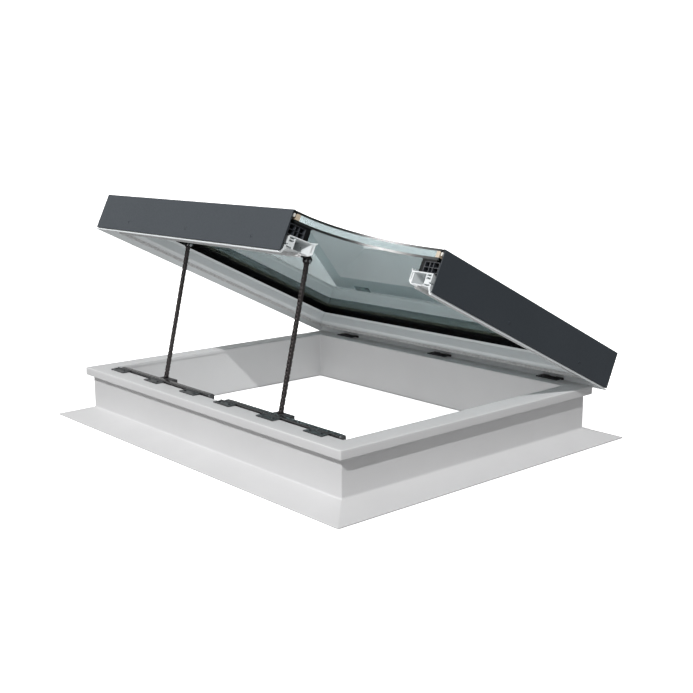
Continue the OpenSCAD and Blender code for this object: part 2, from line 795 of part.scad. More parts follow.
drive_bracket(bracket_x(drive_left_x, 1));  // drive_left_bracket_b
drive_bracket(bracket_x(drive_left_x, 2));  // drive_left_bracket_c
drive_housing(drive_right_x);  // drive_right_housing
drive_cap(drive_right_x + (drive_len - cap_t) / 2);  // drive_right_outer_cap
drive_cap(drive_right_x - (drive_len - cap_t) / 2);  // drive_right_inner_cap
drive_outlet(drive_right_x);  // drive_right_outlet
gear_motor(drive_right_x);  // drive_right_gear_motor
drive_bracket(bracket_x(drive_right_x, 0));  // drive_right_bracket_a
drive_bracket(bracket_x(drive_right_x, 1));  // drive_right_bracket_b
drive_bracket(bracket_x(drive_right_x, 2));  // drive_right_bracket_c
bracket_screws();
chain(chain_left_x);  // chain_left
end_bracket(chain_left_x);  // chain_left_end_bracket
end_pin(chain_left_x);  // chain_left_end_pin
chain(chain_right_x);  // chain_right
end_bracket(chain_right_x);  // chain_right_end_bracket
end_pin(chain_right_x);  // chain_right_end_pin
end_bracket_screws();
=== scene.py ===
"""An opening roof skylight: the finishes and the detailed pieces around its measured frame.

Sash pieces are drawn shut, as sections of (depth inwards from the cladding, height above the
cladding's lower edge), and are then turned open about the hinge line. Section tables are in
millimetres, and everything else is in metres.
"""

import json
import math

import bmesh
import bpy
from mathutils import Matrix, Vector
from mathutils.geometry import tessellate_polygon


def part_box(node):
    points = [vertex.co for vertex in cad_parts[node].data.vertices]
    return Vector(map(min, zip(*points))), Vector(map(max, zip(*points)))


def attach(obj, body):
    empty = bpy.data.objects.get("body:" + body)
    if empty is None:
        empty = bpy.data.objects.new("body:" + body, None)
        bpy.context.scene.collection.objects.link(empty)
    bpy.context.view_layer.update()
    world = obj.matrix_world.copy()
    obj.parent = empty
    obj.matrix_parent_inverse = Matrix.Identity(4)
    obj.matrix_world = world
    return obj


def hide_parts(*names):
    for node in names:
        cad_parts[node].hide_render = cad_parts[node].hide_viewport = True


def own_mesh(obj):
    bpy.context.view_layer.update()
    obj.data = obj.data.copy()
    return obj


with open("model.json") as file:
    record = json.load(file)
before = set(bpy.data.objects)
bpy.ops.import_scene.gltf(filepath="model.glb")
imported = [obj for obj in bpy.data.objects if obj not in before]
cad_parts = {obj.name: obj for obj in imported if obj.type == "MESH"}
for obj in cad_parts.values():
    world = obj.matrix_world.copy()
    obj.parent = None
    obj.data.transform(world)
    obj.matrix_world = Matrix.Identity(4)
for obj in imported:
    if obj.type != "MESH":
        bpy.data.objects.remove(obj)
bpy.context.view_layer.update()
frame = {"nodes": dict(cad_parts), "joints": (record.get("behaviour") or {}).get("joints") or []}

bl_info = {
    "name": "Opening roof skylight",
    "version": (1, 0, 0),
    "blender": (4, 5, 0),
    "location": "View3D > Sidebar > Skylight",
    "description": "Detailed pieces and finishes for an opening roof skylight with two chain drives",
    "category": "Object",
}

MM = 0.001
UPSTAND, SASH = "upstand_body", "sash"
JOINTS = {joint["name"]: joint for joint in frame["joints"]}
HINGE_LINE = Vector(JOINTS["sash_hinge"]["pos_m"])
OPEN_ANGLE = math.radians(-JOINTS["sash_hinge"]["range_deg"][0])
OPENED = (
    Matrix.Translation(HINGE_LINE)
    @ Matrix.Rotation(-OPEN_ANGLE, 4, "X")
    @ Matrix.Translation(-HINGE_LINE)
)
SHUT = OPENED.inverted()
IN_PLACE = Matrix.Identity(4)


# ---- places, from the frame ----


def extent(places):
    """Lowest and highest corners of some points."""
    places = list(places)
    low = Vector([min(p[i] for p in places) for i in range(3)])
    high = Vector([max(p[i] for p in places) for i in range(3)])
    return low, high


def shut_box(node):
    """Lowest and highest corners of one of the sash's CAD nodes with the sash shut."""
    return extent(SHUT @ v.co for v in frame["nodes"][node].data.vertices)


def solids_of(node, turn=IN_PLACE):
    """Lowest and highest corners of each separate solid of a CAD node."""
    bm = bmesh.new()
    bm.from_mesh(frame["nodes"][node].data)
    bmesh.ops.remove_doubles(bm, verts=bm.verts, dist=MM / 1000)
    left = set(bm.verts)
    found = []
    while left:
        group = [left.pop()]
        for vert in group:
            for edge in vert.link_edges:
                other = edge.other_vert(vert)
                if other in left:
                    left.remove(other)
                    group.append(other)
        found.append(extent(turn @ vert.co for vert in group))
    bm.free()
    return sorted(found, key=lambda box: tuple(round(x, 4) for x in box[0]))


SASH_LOW = shut_box("cladding_left")[0]
SASH_HIGH = shut_box("cladding_back")[1]
# Half axes of the cut-away about the sash's near right-hand corner
CUT_ACROSS = SASH_HIGH.x - shut_box("cladding_front")[1].x
CUT_ALONG = shut_box("cladding_right")[0].y - SASH_LOW.y


# ---- sections, in millimetres: (depth, height, corner radius) ----


def arc(x, y, radius, start, end, steps):
    """Points of an arc in degrees, as corners of a section with no rounding of their own."""
    turns = [math.radians(start + (end - start) * i / steps) for i in range(steps + 1)]
    return [(x + radius * math.cos(a), y + radius * math.sin(a), 0) for a in turns]


def oblong(x0, y0, x1, y1, radius):
    """Corners of an upright rectangle with one corner radius."""
    return [(x0, y0, radius), (x1, y0, radius), (x1, y1, radius), (x0, y1, radius)]


FRAME_PROFILE = [
    [
        (14, 46, 0.8), (78, 46, 0.6), (82, 51.5, 0.6), (84, 51.5, 0.8), (80, 45, 1),
        (80, 20, 2.5), (72, 12, 2.5),
        (66, 12, 0.2), (65.5, 13, 0.2), (64.5, 13, 0.2), (64, 12, 0.2),
        (39, 12, 0.2), (38.5, 13.2, 0.2), (37, 13.2, 0.2), (36.5, 12, 0.2),
        (16.5, 12, 1.2), (7, -6, 1), (0, -6, 0.8), (0, -2.5, 0.4), (4.5, -2.5, 0.6),
        (10.5, 10, 0.5), (10.5, 19, 0.5), (19, 20.5, 0.5), (19, 23.5, 0.5), (14, 23.5, 0.5),
    ],
    oblong(17.5, 38, 31.5, 43, 0.8),
    oblong(17.5, 30.5, 31.5, 35.5, 0.8),
    oblong(14.5, 14.5, 31.5, 18, 0.6),
    oblong(34, 15, 71.5, 43, 1.5),
    oblong(74.5, 23, 77.5, 43, 0.8),
]
INSERT_PROFILE = [oblong(3.6, 46.05, 49.95, 73.95, 1)] + [
    oblong(x0, y0, x1, y1, 0.8)
    for x0, x1 in ((5.2, 21.6), (23.6, 32.8), (34.8, 48.4))
    for y0, y1 in ((47.6, 59), (60.8, 72.5))
]
CLADDING_PROFILE = [
    [(0, 0, 0.6), (0, 108.5, 2.5), (6, 108.5, 0.6), (6, 106, 0.6), (2.5, 106, 1.2), (2.5, 0, 0.6)]
]
SPACER_PROFILE = [oblong(14.2, 86.55, 26, 102.45, 0.6)]
GASKET_PROFILE = [
    [
        (16, 74.05, 0.5), (49.95, 74.05, 0.2), (50.05, 46.05, 0.5), (60, 46.05, 0.8),
        (60, 48, 0.3), (61, 49, 0.3), (61, 71.5, 0.3), (60, 72.5, 0.3), (60, 76, 0.5),
        (62.5, 79.9, 0.4), (16, 79.9, 0.3),
    ]
]
WEATHER_PROFILE = [
    [
        (2.55, 101.05, 0.3), (13.95, 101.05, 0.3), (13.95, 108.4, 0.4), (10, 107.6, 2),
        (6.05, 108.4, 0.4), (6.05, 105.95, 0), (2.55, 105.95, 0.3),
    ]
]
CORD_PROFILE = [oblong(5.8, 91.55, 10.7, 100.95, 2.4)]
RIM_SEAL_PROFILE = [
    [(50, 11.95, 0.3), (50, 9.4, 0.6), (51.8, 8.7, 0.3)]
    + arc(54, 5.9, 3.3, 140, 400, 14)
    + [(56.2, 8.7, 0.3), (58, 9.4, 0.6), (58, 11.95, 0.3)],
    arc(54, 5.9, 2.3, 0, 348, 14),
]
# Half section of the upstand: (distance beyond the rim's outer face, height, corner radius)
UPSTAND_PROFILE = [
    [
        (-62, 154, 1.5), (-62, 146, 0.8), (-59, 146, 0.8), (-59, 0, 1), (66, 0, 1), (66, 3.5, 1.2),
        (-17, 28.5, 7), (-17, 130, 2), (0, 130, 1.2), (0, 154, 4),
    ]
]
FLANGE_REACH = 66 * MM
RIM_WIDTH = 62 * MM


def rounded(corners, steps=3):
    """A closed outline in metres, with each corner of (x, y, radius) rounded."""
    points = []
    for i, (x, y, radius) in enumerate(corners):
        here = Vector((x, y))
        before = Vector(corners[i - 1][:2]) - here
        after = Vector(corners[(i + 1) % len(corners)][:2]) - here
        if radius == 0:
            points.append(here * MM)
            continue
        reach = radius / math.tan(before.angle(after) / 2)
        reach = min(reach, 0.45 * before.length, 0.45 * after.length)
        start = here + before.normalized() * reach
        end = here + after.normalized() * reach
        for step in range(steps + 1):
            t = step / steps
            points.append(((1 - t) ** 2 * start + 2 * t * (1 - t) * here + t * t * end) * MM)
    return points


def split_long(outline, longest):
    """An outline with points added, so that none of its edges is longer than that."""
    points = []
    for here, after in zip(outline, outline[1:] + outline[:1]):
        parts = max(1, math.ceil((after - here).length / longest))
        points += [here.lerp(after, part / parts) for part in range(parts)]
    return points


# ---- stations: where a point of a section lies at a corner or an end of the shut sash ----


def corner(right, back, shift=(0, 0)):
    """The mitre at one corner: right and back say which, and shift moves it along."""

    def station(d, h):
        x = SASH_HIGH.x - d if right else SASH_LOW.x + d
        y = SASH_HIGH.y - d if back else SASH_LOW.y + d
        return Vector((x + shift[0], y + shift[1], SASH_LOW.z + h))

    return station


def front_cut(d, h):
    """The end that the cut-away leaves on the drive side."""
    x = SASH_HIGH.x - CUT_ACROSS * math.sqrt(1 - (d / CUT_ALONG) ** 2)
    return Vector((x, SASH_LOW.y + d, SASH_LOW.z + h))


def right_cut(d, h):
    """The end that the cut-away leaves on the right-hand side."""
    y = SASH_LOW.y + CUT_ALONG * math.sqrt(1 - (d / CUT_ACROSS) ** 2)
    return Vector((SASH_HIGH.x - d, y, SASH_LOW.z + h))


def side_ends(gap):
    """The two ends of each side of the sash, each mitre set back by gap."""
    return {
        "front": (front_cut, corner(False, False, (gap, 0))),
        "right": (corner(True, True, (0, -gap)), right_cut),
        "back": (corner(False, True, (gap, 0)), corner(True, True, (-gap, 0))),
        "left": (corner(False, False, (0, gap)), corner(False, True, (0, -gap))),
    }


ALL_ROUND = (
    front_cut,
    corner(False, False),
    corner(False, True),
    corner(True, True),
    right_cut,
)


# ---- meshes ----


def sweep(bm, outlines, stations, closed=False):
    """Adds a bar: closed outlines, the first round the others, carried through the stations."""
    rings = [
        [[bm.verts.new(station(*point)) for point in outline] for outline in outlines]
        for station in stations
    ]
    pairs = list(zip(rings, rings[1:] + rings[:1]))
    if not closed:
        pairs.pop()
    for here, there in pairs:
        for a, b in zip(here, there):
            for i in range(len(a)):
                bm.faces.new((a[i - 1], a[i], b[i], b[i - 1]))
    if closed:
        return
    triangles = tessellate_polygon([[Vector((*p, 0)) for p in outline] for outline in outlines])
    for ring in (rings[0], rings[-1]):
        verts = [vert for outline in ring for vert in outline]
        for triangle in triangles:
            bm.faces.new([verts[i] for i in triangle])


def along_x(x):
    """A station for a bar along X whose section is in (y, z)."""
    return lambda y, z: Vector((x, y, z))


def add_rod(bm, radius, start, end, place=(0, 0), sides=16, hole=0):
    """Adds a rod along X about a (y, z) place, with a bore if hole is given."""
    outlines = [
        [
            Vector((place[0] + r * math.cos(a), place[1] + r * math.sin(a)))
            for a in (math.tau * i / sides for i in range(sides))
        ]
        for r in (radius, hole)
        if r
    ]
    sweep(bm, outlines, (along_x(start), along_x(end)))


def new_piece(name, bm, materials, turn=IN_PLACE, sharp_from=30):
    """An object at the origin from bm, smooth but for its sharp edges."""
    bmesh.ops.recalc_face_normals(bm, faces=bm.faces)
    mesh = bpy.data.meshes.new(name)
    bm.to_mesh(mesh)
    bm.free()
    mesh.transform(turn)
    mesh.shade_smooth()
    mesh.set_sharp_from_angle(angle=math.radians(sharp_from))
    for material in materials:
        mesh.materials.append(material)
    piece = bpy.data.objects.new(name, mesh)
    bpy.context.scene.collection.objects.link(piece)
    return piece


def hang(piece, body, slot, *nodes):
    """Makes a piece move with its body, in place of the CAD nodes that it stands for."""
    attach(piece, body)
    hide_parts(*nodes)


def softened(node, body, slot, radius, material):
    """A piece in a CAD node's shape, its flat faces joined up and its sharp edges rounded."""
    bm = bmesh.new()
    bm.from_mesh(frame["nodes"][node].data)
    bmesh.ops.remove_doubles(bm, verts=bm.verts, dist=MM / 1000)
    bmesh.ops.dissolve_limit(bm, angle_limit=math.radians(0.5), verts=bm.verts, edges=bm.edges)
    draft = new_piece(node + "_draft", bm, [material])
    bevel = draft.modifiers.new("Rounded edges", "BEVEL")
    bevel.width = radius
    bevel.segments = 2
    bevel.limit_method = "ANGLE"
    bevel.angle_limit = math.radians(35)
    hang(plain_copy(draft, node + "_finished"), body, slot, node)


def plain_copy(draft, name, turn=IN_PLACE):
    """The plain mesh that a draft's modifiers give, as a new object in the draft's place."""
    evaluated = draft.evaluated_get(bpy.context.evaluated_depsgraph_get())
    mesh = bpy.data.meshes.new_from_object(evaluated)
    mesh.name = name
    mesh.transform(turn)
    mesh.shade_smooth()
    mesh.set_sharp_from_angle(angle=math.radians(30))
    piece = bpy.data.objects.new(name, mesh)
    bpy.context.scene.collection.objects.link(piece)
    bpy.data.objects.remove(draft)
    return piece


# ---- trees for what repeats ----


def new_tree(name, sockets):
    """A geometry tree with named inputs; gives the tree, its ends and the inputs' identifiers."""
    tree = bpy.data.node_groups.new(name, "GeometryNodeTree")
    tree.interface.new_socket("Geometry", in_out="INPUT", socket_type="NodeSocketGeometry")
    identifiers = {}
    for label, kind in sockets:
        socket = tree.interface.new_socket(label, in_out="INPUT", socket_type="NodeSocket" + kind)
        identifiers[label] = socket.identifier
    tree.interface.new_socket("Geometry", in_out="OUTPUT", socket_type="NodeSocketGeometry")
    start = tree.nodes.new("NodeGroupInput")
    end = tree.nodes.new("NodeGroupOutput")
    return tree, start.outputs, end.inputs, identifiers


def finish_tree(tree, geometry, material, end):
    """Ends a tree in real geometry with its material."""
    real = tree.nodes.new("GeometryNodeRealizeInstances")
    dressed = tree.nodes.new("GeometryNodeSetMaterial")
    tree.links.new(geometry, real.inputs["Geometry"])
    tree.links.new(real.outputs["Geometry"], dressed.inputs["Geometry"])
    tree.links.new(material, dressed.inputs["Material"])
    tree.links.new(dressed.outputs["Geometry"], end["Geometry"])


def made_by(tree, identifiers, base, name, values, turn=IN_PLACE):
    """The plain mesh that a tree makes of a base object with these input values."""
    modifier = base.modifiers.new(tree.name, "NODES")
    modifier.node_group = tree
    for label, value in values.items():
        modifier[identifiers[label]] = value
    return plain_copy(base, name, turn)


def rib_tree():
    """Upright ribs at a pitch along a line, each leaning over along it."""
    tree, start, end, identifiers = new_tree(
        "Ribs along a line",
        [("Pitch", "Float"), ("Size", "Vector"), ("Lean", "Float"), ("Material", "Material")],
    )
    curve = tree.nodes.new("GeometryNodeMeshToCurve")
    spaced = tree.nodes.new("GeometryNodeResampleCurve")
    spaced.mode = "LENGTH"
    rib = tree.nodes.new("GeometryNodeMeshCube")
    tangent = tree.nodes.new("GeometryNodeInputTangent")
    facing = tree.nodes.new("FunctionNodeAlignRotationToVector")
    facing.axis = "X"
    facing.pivot_axis = "Z"
    lean = tree.nodes.new("FunctionNodeAxisAngleToRotation")
    lean.inputs["Axis"].default_value = (0, 1, 0)
    turned = tree.nodes.new("FunctionNodeRotateRotation")
    turned.rotation_space = "LOCAL"
    ribs = tree.nodes.new("GeometryNodeInstanceOnPoints")
    link = tree.links.new
    link(start["Geometry"], curve.inputs["Mesh"])
    link(curve.outputs["Curve"], spaced.inputs["Curve"])
    link(start["Pitch"], spaced.inputs["Length"])
    link(start["Size"], rib.inputs["Size"])
    link(tangent.outputs["Tangent"], facing.inputs["Vector"])
    link(start["Lean"], lean.inputs["Angle"])
    link(facing.outputs["Rotation"], turned.inputs["Rotation"])
    link(lean.outputs["Rotation"], turned.inputs["Rotate By"])
    link(spaced.outputs["Curve"], ribs.inputs["Points"])
    link(rib.outputs["Mesh"], ribs.inputs["Instance"])
    link(turned.outputs["Rotation"], ribs.inputs["Rotation"])
    finish_tree(tree, ribs.outputs["Instances"], start["Material"], end)
    return tree, identifiers


def chain_tree():
    """Two kinds of link in turn along Z, at a pitch."""
    tree, start, end, identifiers = new_tree(
        "Links in turn",
        [
            ("Pitch", "Vector"), ("Count", "Int"), ("Inner link", "Object"),
            ("Outer link", "Object"), ("Material", "Material"),
        ],
    )
    line = tree.nodes.new("GeometryNodeMeshLine")
    index = tree.nodes.new("GeometryNodeInputIndex")
    odd = tree.nodes.new("ShaderNodeMath")
    odd.operation = "MODULO"
    odd.inputs[1].default_value = 2
    even = tree.nodes.new("ShaderNodeMath")
    even.operation = "SUBTRACT"
    even.inputs[0].default_value = 1
    joined = tree.nodes.new("GeometryNodeJoinGeometry")
    link = tree.links.new
    link(start["Count"], line.inputs["Count"])
    link(start["Pitch"], line.inputs["Offset"])
    link(index.outputs["Index"], odd.inputs[0])
    link(odd.outputs[0], even.inputs[1])
    for label, chosen in (("Inner link", even), ("Outer link", odd)):
        shape = tree.nodes.new("GeometryNodeObjectInfo")
        links = tree.nodes.new("GeometryNodeInstanceOnPoints")
        link(start[label], shape.inputs["Object"])
        link(line.outputs["Mesh"], links.inputs["Points"])
        link(chosen.outputs[0], links.inputs["Selection"])
        link(shape.outputs["Geometry"], links.inputs["Instance"])
        link(links.outputs["Instances"], joined.inputs["Geometry"])
    finish_tree(tree, joined.outputs["Geometry"], start["Material"], end)
    return tree, identifiers


def screw_tree():
    """One screw on each point, turned as the point's own attribute says."""
    tree, start, end, identifiers = new_tree(
        "Screws on points", [("Screw", "Object"), ("Material", "Material")]
    )
    shape = tree.nodes.new("GeometryNodeObjectInfo")
    turn = tree.nodes.new("GeometryNodeInputNamedAttribute")
    turn.data_type = "FLOAT_VECTOR"
    turn.inputs["Name"].default_value = "turn"
    rotation = tree.nodes.new("FunctionNodeEulerToRotation")
    screws = tree.nodes.new("GeometryNodeInstanceOnPoints")
    link = tree.links.new
    link(start["Screw"], shape.inputs["Object"])
    link(start["Geometry"], screws.inputs["Points"])
    link(shape.outputs["Geometry"], screws.inputs["Instance"])
    link(turn.outputs["Attribute"], rotation.inputs["Euler"])
    link(rotation.outputs["Rotation"], screws.inputs["Rotation"])
    finish_tree(tree, screws.outputs["Instances"], start["Material"], end)
    return tree, identifiers


# ---- finishes ----


# Between these two values lies nearly all of a noise
NOISE_SPAN = (0.3, 0.7)


class Finish:
    """One procedural material: a shader, and the patterns that vary it over the object."""

    def __init__(self, name, colour, roughness, **constants):
        self.material = bpy.data.materials.new(name)
        self.material.use_nodes = True
        self.tree = self.material.node_tree
        self.shader = self.tree.nodes["Principled BSDF"]
        self.colour = Vector(colour[:3])
        self.shader.inputs["Base Color"].default_value = (*colour[:3], 1)
        self.shader.inputs["Roughness"].default_value = roughness
        for label, value in constants.items():
            self.shader.inputs[label.replace("_", " ")].default_value = value
        place = self.tree.nodes.new("ShaderNodeTexCoord")
        self.place = place.outputs["Object"]
        self.bumped = None

    def pattern(self, scale, detail):
        """A noise in object space, with that many features a metre."""
        noise = self.tree.nodes.new("ShaderNodeTexNoise")
        noise.inputs["Scale"].default_value = scale
        noise.inputs["Detail"].default_value = detail
        self.tree.links.new(self.place, noise.inputs["Vector"])
        return noise.outputs["Fac"]

    def mottle(self, fac, amount):
        """Varies the colour by that share both ways."""
        ramp = self.tree.nodes.new("ShaderNodeValToRGB")
        for element, side, share in zip(ramp.color_ramp.elements, NOISE_SPAN, (-amount, amount)):
            element.position = side
            element.color = (*(self.colour * (1 + share)), 1)
        self.tree.links.new(fac, ramp.inputs["Fac"])
        self.tree.links.new(ramp.outputs["Color"], self.shader.inputs["Base Color"])
        return self

    def wear(self, fac, low, high):
        """Varies the roughness between two values."""
        span = self.tree.nodes.new("ShaderNodeMapRange")
        span.inputs["From Min"].default_value = NOISE_SPAN[0]
        span.inputs["From Max"].default_value = NOISE_SPAN[1]
        span.inputs["To Min"].default_value = low
        span.inputs["To Max"].default_value = high
        self.tree.links.new(fac, span.inputs["Value"])
        self.tree.links.new(span.outputs["Result"], self.shader.inputs["Roughness"])
        return self

    def bump(self, fac, strength, depth):
        """Adds relief of that depth in millimetres, over any relief there is."""
        bump = self.tree.nodes.new("ShaderNodeBump")
        bump.inputs["Strength"].default_value = strength
        bump.inputs["Distance"].default_value = depth * MM
        self.tree.links.new(fac, bump.inputs["Height"])
        if self.bumped:
            self.tree.links.new(self.bumped, bump.inputs["Normal"])
        self.bumped = bump.outputs["Normal"]
        self.tree.links.new(self.bumped, self.shader.inputs["Normal"])
        return self


def laminate_finish(colour):
    """Glass-fibre laminate: satin gel coat with a faint waviness and the mat's grain."""
    finish = Finish("gel_coat_laminate", colour, 0.45, Specular_IOR_Level=0.4)
    finish.mottle(finish.pattern(7, 3), 0.018)
    finish.wear(finish.pattern(40, 4), 0.4, 0.55)
    finish.bump(finish.pattern(18, 2), 0.25, 0.5)
    finish.bump(finish.pattern(420, 3), 0.2, 0.12)
    return finish.material


def window_plastic_finish(colour):
    """Extruded white window plastic with its faint drawing lines."""
    finish = Finish("window_plastic", colour, 0.35, Specular_IOR_Level=0.5)
    finish.mottle(finish.pattern(12, 2), 0.015)
    finish.wear(finish.pattern(60, 3), 0.3, 0.42)
    finish.bump(finish.pattern(700, 2), 0.12, 0.05)
    return finish.material


def powder_coat_finish(name, colour, roughness, grain=1300, gloss=0.4):
    """Powder coat: fine orange peel and a very slight cloudiness."""
    finish = Finish(name, colour, roughness, Specular_IOR_Level=gloss)
    finish.mottle(finish.pattern(9, 3), 0.03)
    finish.wear(finish.pattern(200, 2), roughness - 0.05, roughness + 0.06)
    finish.bump(finish.pattern(grain, 1), 0.3, 0.05)
    return finish.material


def rubber_finish(name, colour, roughness):
    """Extruded rubber: matt, with a fine dusty grain."""
    finish = Finish(name, colour, roughness, Specular_IOR_Level=0.1)
    finish.mottle(finish.pattern(150, 4), 0.12)
    finish.wear(finish.pattern(90, 3), roughness - 0.08, roughness + 0.12)
    finish.bump(finish.pattern(900, 3), 0.25, 0.08)
    return finish.material


def dull_plastic_finish(name, colour, roughness=0.6):
    """Moulded or extruded technical plastic with a fine eroded grain."""
    finish = Finish(name, colour, roughness)
    finish.mottle(finish.pattern(60, 3), 0.06)
    finish.wear(finish.pattern(120, 3), roughness - 0.06, roughness + 0.08)
    finish.bump(finish.pattern(1100, 2), 0.2, 0.05)
    return finish.material


def steel_finish(name, colour, roughness, metallic=1.0):
    """Steel with a fine grain and handling spots."""
    finish = Finish(name, colour, roughness, Metallic=metallic)
    finish.mottle(finish.pattern(120, 4), 0.1)
    finish.wear(finish.pattern(300, 3), roughness - 0.08, roughness + 0.12)
    finish.bump(finish.pattern(900, 2), 0.15, 0.03)
    return finish.material


def glass_finish(colour):
    """Coated float glass."""
    finish = Finish("solar_control_glass", colour, 0, Transmission_Weight=1.0, IOR=1.52)
    finish.wear(finish.pattern(5, 2), 0.0, 0.004)
    return finish.material


def cut_glass_finish(colour):
    """A pane's cut edge: near-black and ground, so that it gleams only towards the light."""
    finish = Finish("cut_glass_edge", colour, 0.3, Specular_IOR_Level=0.5)
    finish.mottle(finish.pattern(80, 3), 0.2)
    finish.wear(finish.pattern(200, 2), 0.27, 0.34)
    return finish.material


def finishes():
    """Every finish by name, made once."""
    colours = bpy.context.scene.skylight_colours
    if not FINISHES:
        FINISHES.update(
            laminate=laminate_finish(colours.laminate),
            plastic=window_plastic_finish(colours.frame),
            cladding=powder_coat_finish("cladding_powder_coat", colours.cladding, 0.5, gloss=0.2),
            insert=dull_plastic_finish("multi_cell_plastic", colours.insert),
            glass=glass_finish(colours.glass),
            glass_edge=cut_glass_finish(colours.glass_edge),
            spacer=dull_plastic_finish("spacer_bar", colours.spacer, 0.5),
            gasket=rubber_finish("glazing_rubber", colours.rubber, 0.5),
            sealant=rubber_finish("weather_sealant", colours.rubber, 0.45),
            cord=dull_plastic_finish("foam_cord", colours.cord, 0.8),
            rim_seal=rubber_finish("grey_seal_rubber", colours.rim_seal, 0.6),
            hinge=powder_coat_finish("hinge_black_coat", colours.hinge, 0.4),
            housing=powder_coat_finish("drive_housing_coat", colours.housing, 0.28, 1800, 0.5),
            cap=dull_plastic_finish("drive_cap_plastic", colours.cap, 0.45),
            outlet=dull_plastic_finish("drive_outlet_plastic", colours.outlet, 0.5),
            bracket=powder_coat_finish("bracket_coat", colours.bracket, 0.4),
            motor=steel_finish("motor_can_steel", (0.42, 0.42, 0.43), 0.35),
            chain=steel_finish("burnished_chain_steel", colours.chain, 0.38, 0.85),
            fixing=steel_finish("zinc_plated_steel", (0.5, 0.51, 0.53), 0.3),
            dark_fixing=steel_finish("black_screw_steel", (0.05, 0.052, 0.055), 0.45),
        )
    return FINISHES


FINISHES = {}


# ---- settings ----


def length(name, description, default):
    """A length that a user may change."""
    return bpy.props.FloatProperty(
        name=name, description=description, default=default, min=0, unit="LENGTH", precision=5
    )


def colour(name, description, default):
    """A colour that a user may change."""
    return bpy.props.FloatVectorProperty(
        name=name, description=description, default=default, size=3, min=0, max=1, subtype="COLOR"
    )


class SkylightSizes(bpy.types.PropertyGroup):
    """Sizes of the details that the frame leaves open."""

    mitre_gap: length("Mitre gap", "Half the joint between two lengths at a corner", 0.0002)
    edge_chamfer: length("Glass chamfer", "Chamfer along the edges of a pane", 0.0005)
    cut_step: length("Cut step", "Longest edge along the face of the cut-away", 0.003)
    upstand_corner: length("Upstand corners", "Radius of the upstand's upright corners", 0.003)
    rib_pitch: length("Rib pitch", "Distance between the gasket's ribs", 0.004)
    rib_width: length("Rib width", "Width of a gasket rib", 0.0016)
    rib_rise: length("Rib rise", "How far a gasket rib stands out", 0.0008)
    plate_edge: length("Plate edges", "Radius of the edges of stamped and moulded parts", 0.0006)
    cap_edge: length("Cap edges", "Radius of the edges of the drives' end caps", 0.0014)
    link_pitch: length("Link pitch", "Distance between chain pins, as near as it divides", 0.01)
    link_inside: length("Link inside", "Half the space between a link's inner plates", 0.003)
    link_plate: length("Link plate", "Thickness of a chain plate", 0.0012)
    link_end: length("Link end", "Radius of a chain plate's round ends", 0.0048)
    roller: length("Roller", "Radius of a chain roller", 0.004)


class SkylightColours(bpy.types.PropertyGroup):
    """Base colours of the finishes."""

    laminate: colour("Laminate", "Upstand", (0.66, 0.66, 0.665))
    # Frame: white window plastic, given a faint blue-green cast that paints in the light reaching it
    # through the tinted glass
    frame: colour("Frame", "Window plastic", (0.77, 0.8, 0.81))
    cladding: colour("Cladding", "Powder coat of the cladding", (0.044, 0.053, 0.063))
    insert: colour("Insert", "Multi-cell insert", (0.03, 0.034, 0.042))
    glass: colour("Glass", "Tint of each pane", (0.44, 0.515, 0.525))
    glass_edge: colour("Glass edge", "Cut edge of a pane", (0.004, 0.006, 0.006))
    spacer: colour("Spacer", "Bar between the panes", (0.6, 0.5, 0.38))
    rubber: colour("Rubber", "Gasket and sealant", (0.004, 0.0045, 0.005))
    cord: colour("Cord", "Backing cord", (0.85, 0.83, 0.78))
    rim_seal: colour("Rim seal", "Seal under the frame", (0.66, 0.66, 0.66))
    hinge: colour("Hinges", "Hinge leaves and end brackets", (0.01, 0.01, 0.011))
    housing: colour("Drives", "Drive housings", (0.01, 0.01, 0.011))
    cap: colour("Drive caps", "Ends of the drives", (0.07, 0.072, 0.075))
    outlet: colour("Chain outlets", "Blocks that the chains leave by", (0.03, 0.03, 0.032))
    bracket: colour("Brackets", "Brackets of the drives", (0.03, 0.034, 0.036))
    chain: colour("Chains", "Chain plates and rollers", (0.07, 0.062, 0.062))


# ---- pieces ----


class SkylightOperator(bpy.types.Operator):
    """What the operators share."""

    bl_options = {"REGISTER", "UNDO"}

    @property
    def sizes(self):
        """The scene's skylight sizes."""
        return bpy.context.scene.skylight_sizes


class SKYLIGHT_OT_upstand(SkylightOperator):
    """Make the moulded upstand with its rim, walls and sloping flange"""

    bl_idname = "skylight.upstand"
    bl_label = "Upstand"

    def execute(self, context):
        radius = self.sizes.upstand_corner
        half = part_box("upstand")[1] - Vector((FLANGE_REACH, FLANGE_REACH, 0))
        turns = 4

        def at(right, back, angle):
            def station(out, z):
                x = half.x + out - radius + radius * abs(math.cos(angle))
                y = half.y + out - radius + radius * abs(math.sin(angle))
                return Vector((right * x, back * y, z))

            return station

        stations = []
        for quarter, (right, back) in enumerate(((1, 1), (-1, 1), (-1, -1), (1, -1))):
            for turn in range(turns + 1):
                angle = math.pi / 2 * (quarter + turn / turns)
                stations.append(at(right, back, angle))
        bm = bmesh.new()
        sweep(bm, [rounded(outline, 5) for outline in UPSTAND_PROFILE], stations, closed=True)
        piece = new_piece("upstand_moulding", bm, [finishes()["laminate"]])
        hang(piece, UPSTAND, "upstand_laminate", "upstand")
        return {"FINISHED"}


def make_lengths(profile, name, gap, material, slot, node):
    """One mitred length of a profile for each side of the sash."""
    step = bpy.context.scene.skylight_sizes.cut_step
    for side, ends in side_ends(gap).items():
        outlines = [rounded(outline) for outline in profile]
        if side in ("front", "right"):
            outlines = [split_long(outline, step) for outline in outlines]
        bm = bmesh.new()
        sweep(bm, outlines, ends)
        piece = new_piece(f"{name}_{side}", bm, [material], OPENED)
        hang(piece, SASH, slot, f"{node}_{side}")


